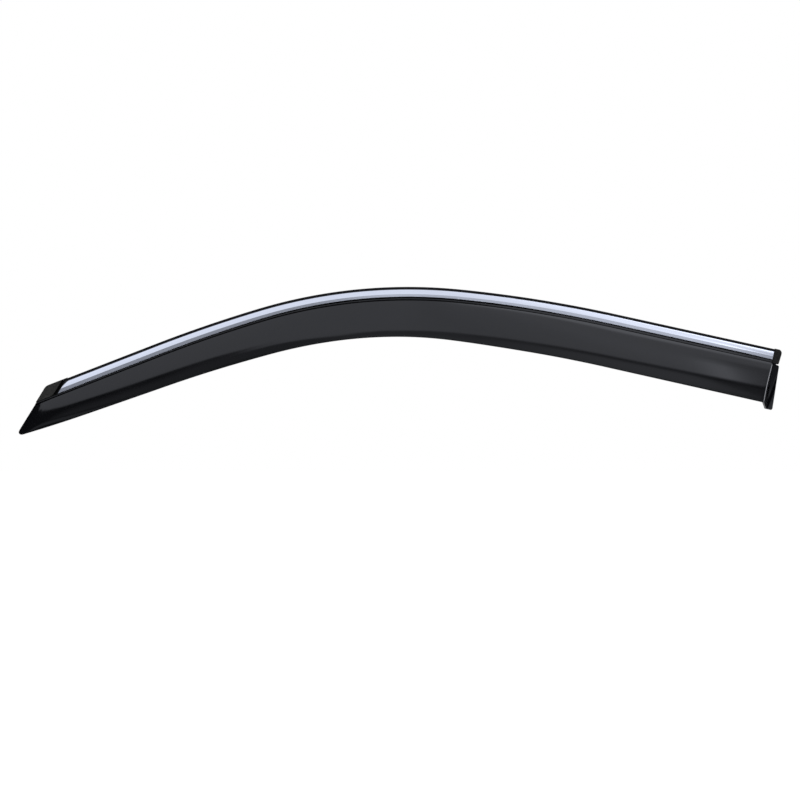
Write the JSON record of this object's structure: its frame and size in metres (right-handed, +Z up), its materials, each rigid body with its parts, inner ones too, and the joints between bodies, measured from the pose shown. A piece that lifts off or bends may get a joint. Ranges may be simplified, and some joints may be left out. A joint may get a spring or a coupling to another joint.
{
  "type": "window rain deflector",
  "caption": "Arched car-door window rain deflector: flared gloss black visor with a bright metal strip, matte end caps and foam mounting tape.",
  "frame": {"origin": "on the adhesive face of the flange tape, midway across it, under the crown of the arch", "axes": "+X along the deflector towards the rear of the car, +Y inward towards the door frame, +Z up"},
  "size_m": [1.0676, 0.0245, 0.2071],
  "materials": {
    "gloss_black": "polished black acrylic",
    "bright_strip": "bright roll-formed metal",
    "cap_black": "fine-grained black moulding",
    "foam_tape": "closed-cell foam tape"
  },
  "bodies": {
    "root": {"visor_body": "gloss_black", "trim_strip": "bright_strip", "front_cap": "cap_black", "rear_cap": "cap_black", "flange_tape": "foam_tape", "foot_tape": "foam_tape"}
  },
  "joints": []
}
